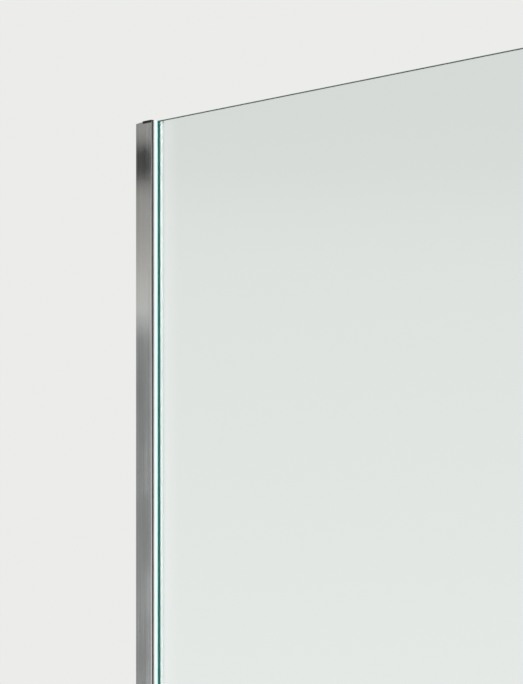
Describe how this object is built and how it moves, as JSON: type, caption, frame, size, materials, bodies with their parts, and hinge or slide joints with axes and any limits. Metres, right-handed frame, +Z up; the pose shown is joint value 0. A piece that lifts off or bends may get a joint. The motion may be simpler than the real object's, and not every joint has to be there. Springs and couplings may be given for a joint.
{
  "type": "shower screen",
  "caption": "Fixed clear glass shower screen in a telescopic polished wall profile, with gaskets, dark top cap, floor seal and a swivelling brace bar to the opposite wall.",
  "frame": {"origin": "middle of the wall channel's back face, on the wall plane, at floor level", "axes": "+X from the wall along the glass to its free edge, +Y to the shower side, square to the glass, +Z up"},
  "size_m": [0.94, 1.0515, 2.018],
  "materials": {
    "bright_aluminium": "polished and bright anodised, mirror-like with a faint vertical drawing grain",
    "chrome_plate": "polished chrome plate",
    "stainless_steel": "plain stainless steel, lightly satin",
    "clear_glass": "clear toughened float glass with a green cast at its polished edges",
    "pale_gasket": "translucent pale PVC, satin",
    "clear_plastic": "clear to milky PVC",
    "grey_plastic": "moulded grey plastic",
    "dark_plastic": "moulded near-black plastic, satin",
    "black_rubber": "matt black rubber",
    "white_nylon": "natural nylon"
  },
  "bodies": {
    "wall_side": {"wall_channel": "bright_aluminium", "wall_screws": "stainless_steel", "wall_washers": "stainless_steel"},
    "panel": {"glazing_profile": "bright_aluminium", "glass_panel": "clear_glass", "outer_gasket": "pale_gasket", "inner_gasket": "pale_gasket", "glass_packers": "clear_plastic", "top_cap": "dark_plastic", "locking_screws": "stainless_steel", "locking_screw_covers": "chrome_plate", "floor_seal": "clear_plastic", "setting_blocks": "grey_plastic", "glass_clamp": "chrome_plate", "clamp_liner": "black_rubber", "pressure_plate": "stainless_steel", "clamp_grub_screws": "stainless_steel", "clamp_pin": "stainless_steel"},
    "brace": {"brace_tube": "chrome_plate", "clamp_end_eye": "chrome_plate", "flange_end_eye": "chrome_plate", "tube_grub_screws": "stainless_steel", "swivel_washers": "white_nylon"},
    "flange": {"wall_flange": "chrome_plate", "flange_pin": "stainless_steel", "flange_screws": "stainless_steel"}
  },
  "joints": [
    {"name": "width_adjust", "type": "slide", "parent": "wall_side", "child": "panel", "axis": [1, 0, 0], "range_m": [-0.007, 0.004]},
    {"name": "brace_swivel", "type": "hinge", "parent": "panel", "child": "brace", "pos_m": [0.84, 0.0305, 1.988], "axis": [0, 0, 1], "range_deg": [-40, 40]},
    {"name": "flange_swivel", "type": "hinge", "parent": "brace", "child": "flange", "pos_m": [0.84, 0.983, 1.988], "axis": [0, 0, 1], "range_deg": [-40, 40]}
  ],
  "couplings": [
    {"joint": "flange_swivel", "follows": "brace_swivel", "ratio": -1}
  ]
}
